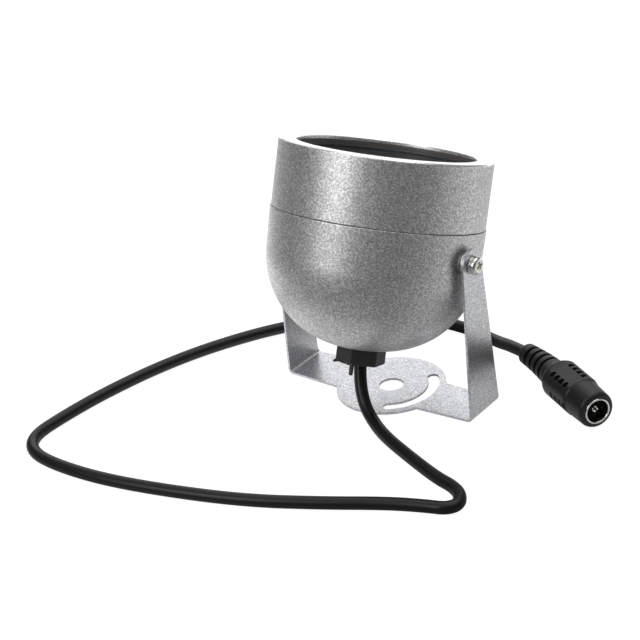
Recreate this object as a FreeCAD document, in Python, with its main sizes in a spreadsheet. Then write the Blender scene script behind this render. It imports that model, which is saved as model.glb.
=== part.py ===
import FreeCAD, Part
import math
import os
import Sketcher

# Infrared illuminator on a stamped U-bracket, with its lead and low-voltage socket.
# Millimetres and degrees. The origin is the centre of the bracket's underside,
# X runs from arm to arm, +Z is up. The head leans back towards +Y at rest.

SIZES = {
    # bracket, one bent sheet
    "sheetThick": 0.8,
    "armGap": 1.6,
    "foldRadius": 1.0,
    "slotEdge": 2.1,
    "stripWidthDisc": 16.8,
    "stripWidthFold": 15.4,
    "armWidthTop": 9.8,
    "mountHoleRadius": 4.0,
    "slotRadius": 13.8,
    "slotWidth": 3.6,
    "slotHalfSpan": 52.5,
    "slotTurn": -6.5,
    # hinge between bracket and head
    "hingeHeight": 51.5,
    "restTilt": 22.2,
    "screwRadius": 1.5,
    "pinClearance": 0.05,
    "screwTipGap": 0.4,
    "screwHeadRadius": 2.8,
    "screwHeadHeight": 2.1,
    "screwHeadRound": 1.05,
    "springWasherThick": 0.7,
    "springWasherRadius": 2.9,
    "springWasherGap": 0.8,
    "frictionWasherThick": 0.5,
    "frictionWasherRadius": 4.0,
    # rear housing
    "bowlProud": 0.3,
    "bowlDraft": 0.4,
    "domeStart": -4.2,
    "seatMargin": 0.75,
    "bowlWall": 2.8,
    "registerGap": 0.4,
    "bossRadius": 3.0,
    "bossEndWall": 0.8,
    "threadDepth": 6.4,
    # front ring
    "ringRadius": 33.5,
    "seamHeight": 8.6,
    "ringTop": 29.7,
    "ringWall": 3.7,
    "lipWidth": 1.8,
    "lipThick": 2.3,
    "rimRound": 1.0,
    "spigotWall": 1.4,
    "spigotLength": 3.8,
    "fitGap": 0.05,
    "sealWidth": 1.1,
    "sealHeight": 1.0,
    # stack held in the front ring
    "gasketThick": 0.9,
    "gasketWidth": 1.95,
    "glassThick": 3.0,
    "sleeveLength": 9.9,
    "sleeveWall": 0.9,
    "boardThick": 1.6,
    "retainerThick": 2.2,
    "retainerWidth": 2.35,
    # emitters and light sensor
    "ledRadius": 2.5,
    "ledFlange": 2.9,
    "ledFlangeThick": 1.0,
    "ledHeight": 8.6,
    "ledSensorGap": 1.9,
    "ledEdgeGap": 2.95,
    "sensorRadius": 2.6,
    "sensorHeight": 2.2,
    "sensorGap": 0.3,
    "sensorSleeveWall": 1.3,
    "sensorSleeveGap": 0.5,
    # pieces on the back of the board
    "resistorRadius": 1.2,
    "resistorLength": 6.3,
    "resistorCircle": 19.0,
    "resistorGap": 0.1,
    "capacitorRadius": 3.15,
    "capacitorHeight": 8.0,
    "capacitorOut": 11.0,
    "transistorWidth": 8.0,
    "transistorThick": 3.2,
    "transistorHeight": 10.5,
    "transistorOut": 11.5,
    "terminalWidth": 6.4,
    "terminalThick": 4.5,
    "terminalHeight": 5.5,
    "terminalOut": 11.0,
    # cable gland
    "glandFlats": 13.5,
    "glandHeight": 4.9,
    "glandTurn": 43.2,
    "stemRadius": 4.0,
    "stemProud": 1.6,
    "glandSealRadius": 6.4,
    "glandSealThick": 1.0,
    "nutFlats": 11.0,
    "nutHeight": 3.0,
    "tongueWidth": 1.2,
    "tongueLength": 3.2,
    "tongueInset": 0.7,
    "flashThick": 0.5,
    "flashReach": 0.7,
    "flashDrop": 0.35,
    # cable and inner wires
    "cableRadius": 2.0,
    "stubLength": 4.2,
    "stubInside": 3.4,
    "cableSplit": 0.3,
    "glandLead": 4.0,
    "bootLead": 6.0,
    "wireRadius": 0.6,
    "wirePitchCable": 1.7,
    "wirePitchTerminal": 2.54,
    "wireLead": 3.6,
    # moulded socket on the end of the cable
    "plugX": 73.2,
    "plugY": 6.2,
    "plugTurn": -29.3,
    "noseWall": 1.65,
    "noseRound": 1.2,
    "noseLength": 9.0,
    "gripStep": 0.45,
    "gripLength": 18.5,
    "gripTaper": 3.3,
    "gripFlatDepth": 0.75,
    "notchWidth": 1.1,
    "notchDepth": 1.6,
    "notchInset": 0.4,
    "notchPitch": 2.6,
    "bootWiden": 1.3,
    "bootLength": 18.5,
    "bootCoreWall": 0.9,
    "ribHeight": 0.5,
    "ribPitch": 3.3,
    "ribGap": 1.1,
    "barrelRadius": 4.2,
    "barrelBore": 3.4,
    "barrelDepth": 9.5,
    "barrelProud": 0.4,
    "insulatorThick": 0.8,
    "pinRadius": 1.05,
    "pinRound": 0.5,
    "pinSlit": 0.45,
    "pinSlitDepth": 4.8,
    "pinSet": 1.2,
}

LED_GROUP = 8
HEX_SIDES = 6
RIB_COUNT = 5
NOTCH_COUNT = 4
RESISTOR_COUNT = 6

# Part of the shorter of two runs that the bend between them takes up
BEND_SHARE = 0.45

# The cable's way along the table, as the photograph shows it: x, y and how far it is
# lifted off the table
CABLE_POINTS = [
    (4.6, -20.6, 3.2),
    (11.0, -23.8, 0.0),
    (19.5, -28.8, 0.0),
    (34.0, -36.0, 0.0),
    (46.0, -41.0, 0.0),
    (52.4, -42.6, 0.0),
    (57.9, -45.0, 0.0),
    (59.8, -49.2, 0.0),
    (57.6, -53.2, 0.0),
    (51.6, -54.8, 0.0),
    (40.5, -58.8, 0.0),
    (22.6, -67.8, 0.0),
    (2.0, -76.8, 0.0),
    (-22.0, -83.4, 0.0),
    (-46.0, -88.0, 0.0),
    (-66.0, -88.6, 0.0),
    (-78.5, -86.2, 0.0),
    (-84.6, -79.0, 0.0),
    (-84.2, -65.5, 0.0),
    (-82.0, -47.5, 0.0),
    (-76.5, -25.0, 0.0),
    (-68.0, -5.0, 0.0),
    (-55.5, 14.5, 0.0),
    (-37.0, 32.0, 0.0),
    (-15.0, 40.3, 0.0),
    (4.0, 40.3, 0.0),
    (17.0, 37.0, 0.6),
]


# A length that carries both its number and the sheet expression that gives it
class Size:
    def __init__(self, number, text):
        self.number = float(number)
        self.text = text

    def __add__(self, other):
        other = size(other)
        return Size(self.number + other.number, "(%s + %s)" % (self.text, other.text))

    def __sub__(self, other):
        other = size(other)
        return Size(self.number - other.number, "(%s - %s)" % (self.text, other.text))

    def __mul__(self, factor):
        factor = size(factor)
        return Size(self.number * factor.number, "(%s * %s)" % (self.text, factor.text))

    def __truediv__(self, factor):
        factor = size(factor)
        return Size(self.number / factor.number, "(%s / %s)" % (self.text, factor.text))

    def __neg__(self):
        return Size(-self.number, "(0 - %s)" % self.text)


def size(value):
    if isinstance(value, Size):
        return value
    return Size(value, "%s" % value)


def leg(long_side, short_side):
    # The other leg of a right triangle
    number = math.sqrt(long_side.number ** 2 - short_side.number ** 2)
    return Size(number, "sqrt(%s ^ 2 - %s ^ 2)" % (long_side.text, short_side.text))


def cos(angle):
    return Size(math.cos(math.radians(angle.number)), "cos(%s * 1 deg)" % angle.text)


def sin(angle):
    return Size(math.sin(math.radians(angle.number)), "sin(%s * 1 deg)" % angle.text)


# The document and its sheet of sizes
doc = FreeCAD.newDocument("illuminator")
sheet = doc.addObject("Spreadsheet::Sheet", "Sizes")
for row, name in enumerate(SIZES, 1):
    sheet.set("A%d" % row, name)
    sheet.set("B%d" % row, str(SIZES[name]))
    sheet.setAlias("B%d" % row, name)
doc.recompute()


def s(name):
    return Size(sheet.get(name), "Sizes.%s" % name)


# Sketches, features and placements

def new_body(name):
    body = doc.addObject("PartDesign::Body", name)
    body.Label = name
    return body


def new_sketch(body, plane, offset=None, turn=None):
    sketch = body.newObject("Sketcher::SketchObject", body.Name + "_sketch")
    origin = [o for o in body.Origin.OriginFeatures if o.Role == plane + "_Plane"][0]
    sketch.AttachmentSupport = [(origin, "")]
    sketch.MapMode = "FlatFace"
    if offset is not None:
        sketch.setExpression("AttachmentOffset.Base.z", offset.text)
    if turn is not None:
        sketch.AttachmentOffset = FreeCAD.Placement(
            FreeCAD.Vector(0, 0, 0), FreeCAD.Rotation(FreeCAD.Vector(0, 0, 1), turn.number))
        sketch.setExpression("AttachmentOffset.Rotation.Angle", turn.text)
    return sketch


def fix_point(sketch, geo, pos, x, y):
    for axis, kind, place in ((-2, "DistanceX", x), (-1, "DistanceY", y)):
        place = size(place)
        if place.text == "0":
            sketch.addConstraint(Sketcher.Constraint("PointOnObject", geo, pos, axis))
            continue
        index = sketch.addConstraint(
            Sketcher.Constraint(kind, -1, 1, geo, pos, place.number))
        sketch.setExpression("Constraints[%d]" % index, place.text)


def flat(x, y):
    return FreeCAD.Vector(size(x).number, size(y).number, 0)


def outline(sketch, corners):
    # Closed outline. A corner is (x, y), or (x, y, centre x, centre y, way)
    # where an arc leads to the next corner, counter-clockwise for a way of 1.
    ends = []
    count = len(corners)
    for i, corner in enumerate(corners):
        a = flat(corner[0], corner[1])
        b = flat(corners[(i + 1) % count][0], corners[(i + 1) % count][1])
        if len(corner) == 2:
            geo = sketch.addGeometry(Part.LineSegment(a, b), False)
            ends.append((geo, 1, 2))
            continue
        centre = flat(corner[2], corner[3])
        circle = Part.Circle(centre, FreeCAD.Vector(0, 0, 1), (a - centre).Length)
        turn_a = math.atan2(a.y - centre.y, a.x - centre.x)
        turn_b = math.atan2(b.y - centre.y, b.x - centre.x)
        if corner[4] > 0:
            geo = sketch.addGeometry(Part.ArcOfCircle(circle, turn_a, turn_b), False)
            ends.append((geo, 1, 2))
        else:
            geo = sketch.addGeometry(Part.ArcOfCircle(circle, turn_b, turn_a), False)
            ends.append((geo, 2, 1))
        kind, place, axis = "DistanceX", size(corner[2]), -2
        if abs(b.x - a.x) > abs(b.y - a.y):
            kind, place, axis = "DistanceY", size(corner[3]), -1
        if place.text == "0":
            sketch.addConstraint(Sketcher.Constraint("PointOnObject", geo, 3, axis))
        else:
            index = sketch.addConstraint(
                Sketcher.Constraint(kind, -1, 1, geo, 3, place.number))
            sketch.setExpression("Constraints[%d]" % index, place.text)
    for i in range(count):
        here = ends[i]
        after = ends[(i + 1) % count]
        sketch.addConstraint(
            Sketcher.Constraint("Coincident", here[0], here[2], after[0], after[1]))
        fix_point(sketch, here[0], here[1], corners[i][0], corners[i][1])


def ring(sketch, x, y, radius):
    circle = Part.Circle(flat(x, y), FreeCAD.Vector(0, 0, 1), radius.number)
    geo = sketch.addGeometry(circle, False)
    fix_point(sketch, geo, 3, x, y)
    index = sketch.addConstraint(Sketcher.Constraint("Radius", geo, radius.number))
    sketch.setExpression("Constraints[%d]" % index, radius.text)


def box_outline(sketch, x0, x1, y0, y1):
    outline(sketch, [(x0, y0), (x1, y0), (x1, y1), (x0, y1)])


def extrude(body, kind, sketch, length=None, both=False, back=False):
    # Pad or Pocket; a pocket with no length goes through everything
    feature = body.newObject("PartDesign::" + kind, body.Name + "_" + kind)
    feature.Profile = sketch
    if both:
        feature.SideType = "Symmetric"
    if length is None:
        feature.Type = "ThroughAll"
    else:
        feature.Type = "Length"
        feature.setExpression("Length", length.text)
    feature.Reversed = back
    body.Tip = feature
    return feature


def spin(body, sketch, axis="V_Axis", kind="Revolution"):
    feature = body.newObject("PartDesign::" + kind, body.Name + "_" + kind)
    feature.Profile = sketch
    feature.ReferenceAxis = (sketch, [axis])
    feature.Angle = 360.0
    body.Tip = feature
    return feature


def mirror(body, features, plane):
    feature = body.newObject("PartDesign::Mirrored", body.Name + "_Mirrored")
    feature.Originals = features
    origin = [o for o in body.Origin.OriginFeatures if o.Role == plane + "_Plane"][0]
    feature.MirrorPlane = (origin, [""])
    body.Tip = feature
    return feature


def around(body, feature, count):
    pattern = body.newObject("PartDesign::PolarPattern", body.Name + "_Polar")
    pattern.Originals = [feature]
    origin = [o for o in body.Origin.OriginFeatures if o.Role == "Z_Axis"][0]
    pattern.Axis = (origin, [""])
    pattern.Angle = 360.0
    pattern.Occurrences = count
    body.Tip = pattern
    return pattern


def along(body, feature, count, pitch, back=False):
    pattern = body.newObject("PartDesign::LinearPattern", body.Name + "_Linear")
    pattern.Originals = [feature]
    origin = [o for o in body.Origin.OriginFeatures if o.Role == "Z_Axis"][0]
    pattern.Direction = (origin, [""])
    pattern.Reversed = back
    pattern.setExpression("Length", (pitch * (count - 1)).text)
    pattern.Occurrences = count
    body.Tip = pattern
    return pattern


def turned(name, corners):
    # A turned piece of the head: its half section is (radius, height along the axis)
    body = new_body(name)
    spin_section(body, corners)
    place_on_head(body)
    return body


def turned_on_plug(name, corners):
    body = new_body(name)
    spin_section(body, corners)
    place_plug(body)
    return body


def spin_section(body, corners):
    sketch = new_sketch(body, "XZ")
    outline(sketch, corners)
    spin(body, sketch)


def tube_section(inner, outer, low, high):
    return [(inner, low), (outer, low), (outer, high), (inner, high)]


def head_placement():
    lean = FreeCAD.Rotation(FreeCAD.Vector(-1, 0, 0), s("restTilt").number)
    return FreeCAD.Placement(FreeCAD.Vector(0, 0, s("hingeHeight").number), lean)


def place_on_head(body):
    body.Placement = head_placement()
    body.setExpression("Placement.Base.z", s("hingeHeight").text)
    body.setExpression("Placement.Rotation.Angle", s("restTilt").text)


def plug_placement():
    lie = FreeCAD.Rotation(FreeCAD.Vector(0, 1, 0), 90)
    heading = FreeCAD.Rotation(FreeCAD.Vector(0, 0, 1), s("plugTurn").number)
    nose = FreeCAD.Vector(s("plugX").number, s("plugY").number, plug_height.number)
    return FreeCAD.Placement(nose, heading * lie)


def place_plug(body):
    body.Placement = plug_placement()
    body.setExpression("Placement.Base.x", s("plugX").text)
    body.setExpression("Placement.Base.y", s("plugY").text)
    body.setExpression("Placement.Base.z", plug_height.text)


def new_feature(name, shape, placement=None):
    feature = doc.addObject("Part::Feature", name)
    feature.Label = name
    feature.Shape = shape
    if placement is not None:
        feature.Placement = placement
    return feature


# Shared heights along the head's axis, measured from the hinge
bowl_radius = s("ringRadius") + s("bowlProud")
ring_bore = s("ringRadius") - s("ringWall")
spigot_radius = ring_bore + s("spigotWall")
lip_radius = ring_bore - s("lipWidth")
arm_inner = bowl_radius + s("armGap")
half_length = arm_inner + s("sheetThick")
hole_radius = s("screwRadius") + s("pinClearance")
boss_face = arm_inner - s("frictionWasherThick")
screw_seat = half_length + s("springWasherThick")
shank_end = boss_face - s("threadDepth") + s("screwTipGap")
stem_hole = s("stemRadius") + s("fitGap")
bottom_radius = stem_hole + s("seatMargin")
draft_radius = bowl_radius - s("bowlDraft")
dome_radius = draft_radius - bottom_radius
bowl_bottom = s("domeStart") - dome_radius
stem_length = s("bowlWall") + s("glandSealThick") + s("nutHeight") + s("stemProud")
bowl_inner_bottom = bowl_bottom + s("bowlWall")
gland_bottom = bowl_bottom - s("glandHeight")
lip_bottom = s("ringTop") - s("lipThick")
glass_top = lip_bottom - s("gasketThick")
glass_bottom = glass_top - s("glassThick")
board_top = glass_bottom - s("sleeveLength")
board_back = board_top - s("boardThick")
stack_radius = ring_bore - s("fitGap")
sleeve_inner = stack_radius - s("sleeveWall")
sensor_bore = s("sensorRadius") + s("sensorGap")
sensor_sleeve = sensor_bore + s("sensorSleeveWall")
led_inner = sensor_sleeve + s("ledFlange") + s("ledSensorGap")
led_outer = sleeve_inner - s("ledFlange") - s("ledEdgeGap")
slot_far = s("slotRadius") + s("slotWidth") / 2
disc_radius = slot_far + s("slotEdge")
nose_radius = s("barrelRadius") + s("fitGap") + s("noseWall")
grip_radius = nose_radius + s("gripStep")
grip_flat = grip_radius - s("gripFlatDepth")
plug_height = grip_radius + s("fitGap")
boot_core = s("cableRadius") + s("bootCoreWall")
boot_end_radius = boot_core + s("ribHeight")
boot_radius = boot_end_radius + s("bootWiden")


# Bracket: bent strip with a disc in the middle and two tapered arms

def make_bracket():
    body = new_body("u_bracket")
    thick = s("sheetThick")
    fold = s("foldRadius") + thick
    arm_half = s("armWidthTop") / 2
    top = s("hingeHeight") + arm_half
    bend = half_length - fold
    profile = new_sketch(body, "XZ")
    outline(profile, [
        (-bend, 0), (bend, 0, bend, fold, 1),
        (half_length, fold), (half_length, top), (arm_inner, top),
        (arm_inner, fold, bend, fold, -1), (bend, thick),
        (-bend, thick, -bend, fold, -1), (-arm_inner, fold),
        (-arm_inner, top), (-half_length, top), (-half_length, fold, -bend, fold, 1),
    ])
    margin = disc_radius * 2 + s("stripWidthDisc")
    extrude(body, "Pad", profile, margin, both=True)
    cut_base_outline(body, margin)
    cut_arm_outline(body, fold, arm_half, top, margin)
    cut_base_holes(body)
    holes = new_sketch(body, "YZ")
    ring(holes, 0, s("hingeHeight"), hole_radius)
    extrude(body, "Pocket", holes, both=True)
    return body


def cut_base_outline(body, margin):
    # Both sides of the strip, out to the disc's edge
    side = s("stripWidthDisc") / 2
    end = s("stripWidthFold") / 2
    meet = leg(disc_radius, side)
    past = half_length + s("sheetThick")
    waste = new_sketch(body, "XY")
    outline(waste, [
        (-past, -end), (-half_length, -end), (-meet, -side, 0, 0, 1), (meet, -side),
        (half_length, -end), (past, -end), (past, -margin), (-past, -margin),
    ])
    pocket = extrude(body, "Pocket", waste, both=True)
    mirror(body, [pocket], "XZ")


def cut_arm_outline(body, fold, arm_half, top, margin):
    # Leaves the taper from the fold up to the round tip
    end = s("stripWidthFold") / 2
    height = s("hingeHeight")
    over = top + s("sheetThick")
    waste = new_sketch(body, "YZ")
    outline(waste, [
        (-end, fold), (-arm_half, height, 0, height, -1), (arm_half, height),
        (end, fold), (margin, fold), (margin, over), (-margin, over), (-margin, fold),
    ])
    extrude(body, "Pocket", waste, both=True)


def cut_base_holes(body):
    centre = new_sketch(body, "XY")
    ring(centre, 0, 0, s("mountHoleRadius"))
    extrude(body, "Pocket", centre, both=True)
    half = s("slotHalfSpan")
    far = slot_far
    near = s("slotRadius") - s("slotWidth") / 2
    across, up = cos(half), sin(half)
    slot = new_sketch(body, "XY", turn=s("slotTurn"))
    outline(slot, [
        (far * across, -(far * up), 0, 0, 1),
        (far * across, far * up, s("slotRadius") * across, s("slotRadius") * up, 1),
        (near * across, near * up, 0, 0, -1),
        (near * across, -(near * up), s("slotRadius") * across, -(s("slotRadius") * up), 1),
    ])
    extrude(body, "Pocket", slot, both=True)


# Rear housing: hollow bowl with a boss for each pivot screw

def make_housing():
    body = new_body("rear_housing")
    outer = bowl_radius
    inner = outer - s("bowlWall")
    corner = bottom_radius
    seam = s("seamHeight")
    recess = spigot_radius + s("sealWidth") + s("fitGap")
    register = spigot_radius + s("fitGap")
    seat = seam - s("sealHeight")
    floor = seam - s("spigotLength") - s("registerGap")
    stem = stem_hole
    start = s("domeStart")
    section = new_sketch(body, "XZ")
    outline(section, [
        (stem, bowl_bottom), (corner, bowl_bottom, corner, start, 1),
        (draft_radius, start), (outer, seam), (recess, seam), (recess, seat),
        (register, seat), (register, floor), (inner, floor),
        (draft_radius - s("bowlWall"), start, corner, start, -1),
        (corner, bowl_inner_bottom), (stem, bowl_inner_bottom),
    ])
    spin(body, section)
    boss_depth = s("threadDepth") + s("bossEndWall")
    boss_end = boss_face - boss_depth
    disc = new_sketch(body, "YZ", offset=boss_end)
    ring(disc, 0, 0, s("bossRadius"))
    boss = extrude(body, "Pad", disc, boss_depth)
    drill = new_sketch(body, "YZ", offset=boss_face)
    ring(drill, 0, 0, hole_radius)
    hole = extrude(body, "Pocket", drill, s("threadDepth"))
    mirror(body, [boss, hole], "YZ")
    place_on_head(body)
    return body


# Front ring, with the lip that holds the glass and the spigot that enters the bowl

def make_front_ring():
    outer = s("ringRadius")
    top = s("ringTop")
    edge = s("rimRound")
    seam = s("seamHeight")
    low = seam - s("spigotLength")
    return turned("front_ring", [
        (ring_bore, low), (spigot_radius, low), (spigot_radius, seam),
        (outer, seam), (outer, top - edge, outer - edge, top - edge, 1),
        (outer - edge, top), (lip_radius, top), (lip_radius, lip_bottom),
        (ring_bore, lip_bottom),
    ])


def make_stack():
    # Gasket, glass, sleeve, board and retainer, one on the other behind the lip
    seam = s("seamHeight")
    pieces = []
    pieces.append(turned("glass_gasket", tube_section(
        stack_radius - s("gasketWidth"), stack_radius, glass_top, lip_bottom)))
    pieces.append(turned("front_glass", tube_section(
        0, stack_radius, glass_bottom, glass_top)))
    pieces.append(turned("spacer_sleeve", tube_section(
        sleeve_inner, stack_radius, board_top, glass_bottom)))
    pieces.append(turned("led_board", tube_section(
        0, stack_radius, board_back, board_top)))
    pieces.append(turned("board_retainer", tube_section(
        stack_radius - s("retainerWidth"), stack_radius,
        board_back - s("retainerThick"), board_back)))
    pieces.append(turned("housing_seal", tube_section(
        spigot_radius + s("fitGap"), spigot_radius + s("sealWidth"),
        seam - s("sealHeight"), seam)))
    return pieces


# Emitters in three circles, and the light sensor in its sleeve

def make_leds():
    body = new_body("leds")
    top = board_top + s("ledHeight") - s("ledRadius")
    flange = board_top + s("ledFlangeThick")
    # whole groups of lamps, as many as stand clear of each other on the circle
    pitch = (s("ledFlange") + s("fitGap")) * 2
    for middle in (led_inner, (led_inner + led_outer) / 2, led_outer):
        count = LED_GROUP * int(2 * math.pi * middle.number / (LED_GROUP * pitch.number))
        section = new_sketch(body, "XZ")
        outline(section, [
            (middle, board_top), (middle + s("ledFlange"), board_top),
            (middle + s("ledFlange"), flange), (middle + s("ledRadius"), flange),
            (middle + s("ledRadius"), top, middle, top, 1), (middle, top + s("ledRadius")),
        ])
        axis = Part.LineSegment(flat(middle, board_top), flat(middle, top))
        line = section.addGeometry(axis, True)
        fix_point(section, line, 1, middle, board_top)
        fix_point(section, line, 2, middle, top)
        lamp = spin(body, section, "Axis0")
        around(body, lamp, count)
    place_on_head(body)
    return body


def make_sensor():
    low = board_top
    sensor = turned("photocell", tube_section(
        0, s("sensorRadius"), low, low + s("sensorHeight")))
    sleeve = turned("photocell_sleeve", tube_section(
        sensor_bore, sensor_sleeve, low,
        glass_bottom - s("sensorSleeveGap")))
    return [sensor, sleeve]


# Pieces soldered to the back of the board

def make_back_pieces():
    resistors = new_body("board_resistors")
    start = s("resistorCircle") - s("resistorLength") / 2
    end = new_sketch(resistors, "YZ", offset=start)
    ring(end, 0, board_back - s("resistorRadius") - s("resistorGap"), s("resistorRadius"))
    one = extrude(resistors, "Pad", end, s("resistorLength"))
    around(resistors, one, RESISTOR_COUNT)
    can = new_body("smoothing_capacitor")
    base = new_sketch(can, "XY", offset=board_back)
    ring(base, -s("capacitorOut"), 0, s("capacitorRadius"))
    extrude(can, "Pad", base, s("capacitorHeight"), back=True)
    switch = block("switch_transistor", 0, s("transistorOut"), s("transistorWidth"),
                   s("transistorThick"), s("transistorHeight"))
    terminal = block("input_terminal", 0, -s("terminalOut"), s("terminalWidth"),
                     s("terminalThick"), s("terminalHeight"))
    place_on_head(resistors)
    place_on_head(can)
    return [resistors, can, switch, terminal]


def block(name, x, y, width, thick, height):
    body = new_body(name)
    base = new_sketch(body, "XY", offset=board_back)
    x = size(x)
    box_outline(base, x - width / 2, x + width / 2, y - thick / 2, y + thick / 2)
    extrude(body, "Pad", base, height, back=True)
    place_on_head(body)
    return body


# Cable gland: hexagon outside, stem through the bowl, seal and nut inside

def hexagon(sketch, flats, turn):
    radius = flats / 2 / cos(size(180 / HEX_SIDES))
    corners = []
    for k in range(HEX_SIDES):
        angle = turn + 360 / HEX_SIDES * k
        corners.append((radius * cos(angle), radius * sin(angle)))
    outline(sketch, corners)
    return corners


def make_gland():
    body = new_body("cable_gland")
    bore = s("cableRadius") + s("fitGap")
    head = new_sketch(body, "XY", offset=gland_bottom)
    corners = hexagon(head, s("glandFlats"), s("glandTurn"))
    extrude(body, "Pad", head, s("glandHeight"))
    stem = new_sketch(body, "XY", offset=bowl_bottom)
    ring(stem, 0, 0, s("stemRadius"))
    extrude(body, "Pad", stem, stem_length)
    # moulding tongue that hangs beside the cable
    width = s("tongueWidth")
    x, y = corners[4]
    tongue = new_sketch(body, "XY", offset=gland_bottom)
    ring(tongue, x, y + s("tongueInset"), width / 2)
    extrude(body, "Pad", tongue, s("tongueLength"), back=True)
    # wisp of moulding flash on the lower edge
    left, front = corners[3], corners[4]
    wisp = new_sketch(body, "XY", offset=gland_bottom)
    middle = ((left[0] + front[0]) / 2, (left[1] + front[1]) / 2)
    tip = (left[0] - s("flashReach"), left[1] - s("flashDrop"))
    outline(wisp, [left, tip, middle])
    extrude(body, "Pad", wisp, s("flashThick"))
    drill = new_sketch(body, "XY")
    ring(drill, 0, 0, bore)
    extrude(body, "Pocket", drill, both=True)
    place_on_head(body)
    return body


def make_gland_fixings():
    bore = stem_hole
    seal_top = bowl_inner_bottom + s("glandSealThick")
    seal = turned("gland_seal", tube_section(
        bore, s("glandSealRadius"), bowl_inner_bottom + s("fitGap"), seal_top))
    nut = new_body("gland_locknut")
    base = new_sketch(nut, "XY", offset=seal_top)
    hexagon(base, s("nutFlats"), size(0))
    extrude(nut, "Pad", base, s("nutHeight"))
    drill = new_sketch(nut, "XY")
    ring(drill, 0, 0, bore)
    extrude(nut, "Pocket", drill, both=True)
    place_on_head(nut)
    return [seal, nut]


# Pivot screws with their washers, one on each side

def side_pair(name, corners):
    body = new_body(name)
    section = new_sketch(body, "XY")
    outline(section, corners)
    half = spin(body, section, "H_Axis")
    mirror(body, [half], "YZ")
    place_on_head(body)
    return body


def make_pivots():
    seat = screw_seat
    crown = s("screwHeadHeight")
    round_off = s("screwHeadRound")
    rim = seat + crown - round_off
    head = s("screwHeadRadius")
    screws = side_pair("pivot_screws", [
        (shank_end, 0), (seat + crown, 0),
        (seat + crown, head - round_off, rim, head - round_off, 1),
        (rim, head), (seat, head), (seat, s("screwRadius")),
        (shank_end, s("screwRadius")),
    ])
    friction = side_pair("friction_washers", [
        (boss_face, hole_radius), (boss_face, s("frictionWasherRadius")),
        (arm_inner, s("frictionWasherRadius")), (arm_inner, hole_radius),
    ])
    return [screws, friction, make_spring_washers()]


def make_spring_washers():
    body = new_body("spring_washers")
    base = new_sketch(body, "YZ", offset=half_length)
    ring(base, 0, 0, s("springWasherRadius"))
    ring(base, 0, 0, hole_radius)
    coil = extrude(body, "Pad", base, s("springWasherThick"))
    gap = s("springWasherGap") / 2
    split = new_sketch(body, "YZ", offset=half_length)
    box_outline(split, -gap, gap, 0, -s("springWasherRadius") * 2)
    cut = extrude(body, "Pocket", split, s("springWasherThick"), back=True)
    mirror(body, [coil, cut], "YZ")
    place_on_head(body)
    return body


# Cable: straight runs joined by tangent arcs, swept with a round section

def route_wire(points, name):
    edges = []
    here = points[0]
    length = 0.0
    for i in range(1, len(points) - 1):
        before = points[i] - points[i - 1]
        after = points[i + 1] - points[i]
        turn = before.getAngle(after)
        reach = BEND_SHARE * min(before.Length, after.Length)
        radius = reach / math.tan(turn / 2)
        before.normalize()
        after.normalize()
        enter = points[i] - before * reach
        leave = points[i] + after * reach
        inward = after - before
        inward.normalize()
        middle = points[i] + inward * (radius / math.cos(turn / 2) - radius)
        edges.append(Part.LineSegment(here, enter).toShape())
        edges.append(Part.Arc(enter, middle, leave).toShape())
        length += (enter - here).Length + radius * turn
        print("%s bend %d: radius %.1f mm, turn %.0f degrees"
              % (name, i, radius, math.degrees(turn)))
        here = leave
    edges.append(Part.LineSegment(here, points[-1]).toShape())
    length += (points[-1] - here).Length
    return Part.Wire(edges), length


def swept(points, radius, name):
    path, length = route_wire(points, name)
    direction = points[1] - points[0]
    circle = Part.Wire(Part.makeCircle(radius, points[0], direction))
    solid = path.makePipeShell([circle], True, False)
    expected = math.pi * radius ** 2 * length
    print("%s length %.1f mm, volume over expected %.4f"
          % (name, length, solid.Volume / expected))
    return solid


def make_cable():
    lean = head_placement()
    stub_end = (gland_bottom - s("stubLength")).number
    stub_top = (bowl_bottom + stem_length + s("stubInside")).number
    radius = s("cableRadius").number
    stub = Part.makeCylinder(radius, stub_top - stub_end, FreeCAD.Vector(0, 0, stub_end))
    pieces = [new_feature("cable_stub", stub, lean)]
    run_start = FreeCAD.Vector(0, 0, stub_end - s("cableSplit").number)
    boot_end = -(s("noseLength") + s("gripLength") + s("bootLength")).number
    run_lead = run_start - FreeCAD.Vector(0, 0, s("glandLead").number)
    lie = plug_placement()
    points = [lean.multVec(run_start), lean.multVec(run_lead)]
    points += [FreeCAD.Vector(x, y, radius + lift) for x, y, lift in CABLE_POINTS]
    for back in (s("bootLead").number, 0.0):
        points.append(lie.multVec(FreeCAD.Vector(0, 0, boot_end - back)))
    pieces.append(new_feature("cable_run", swept(points, radius, "cable_run")))
    return pieces


def make_wires():
    # Two single wires from the cable's end to the terminal on the board
    lean = head_placement()
    top = (board_back - s("terminalHeight")).number
    low = (bowl_bottom + stem_length + s("stubInside")).number
    out = -s("terminalOut").number
    rise = s("wireLead").number
    pieces = []
    for name, side in (("wire_red", 1), ("wire_black", -1)):
        near = side * s("wirePitchCable").number / 2
        x = side * s("wirePitchTerminal").number / 2
        points = [
            FreeCAD.Vector(near, 0, low), FreeCAD.Vector(near, 0, low + rise),
            FreeCAD.Vector(x, out, top - rise), FreeCAD.Vector(x, out, top),
        ]
        solid = swept(points, s("wireRadius").number, name)
        pieces.append(new_feature(name, solid, lean))
    return pieces


# Moulded socket: round nose, grip with flats and notches, ribbed strain relief

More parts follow.
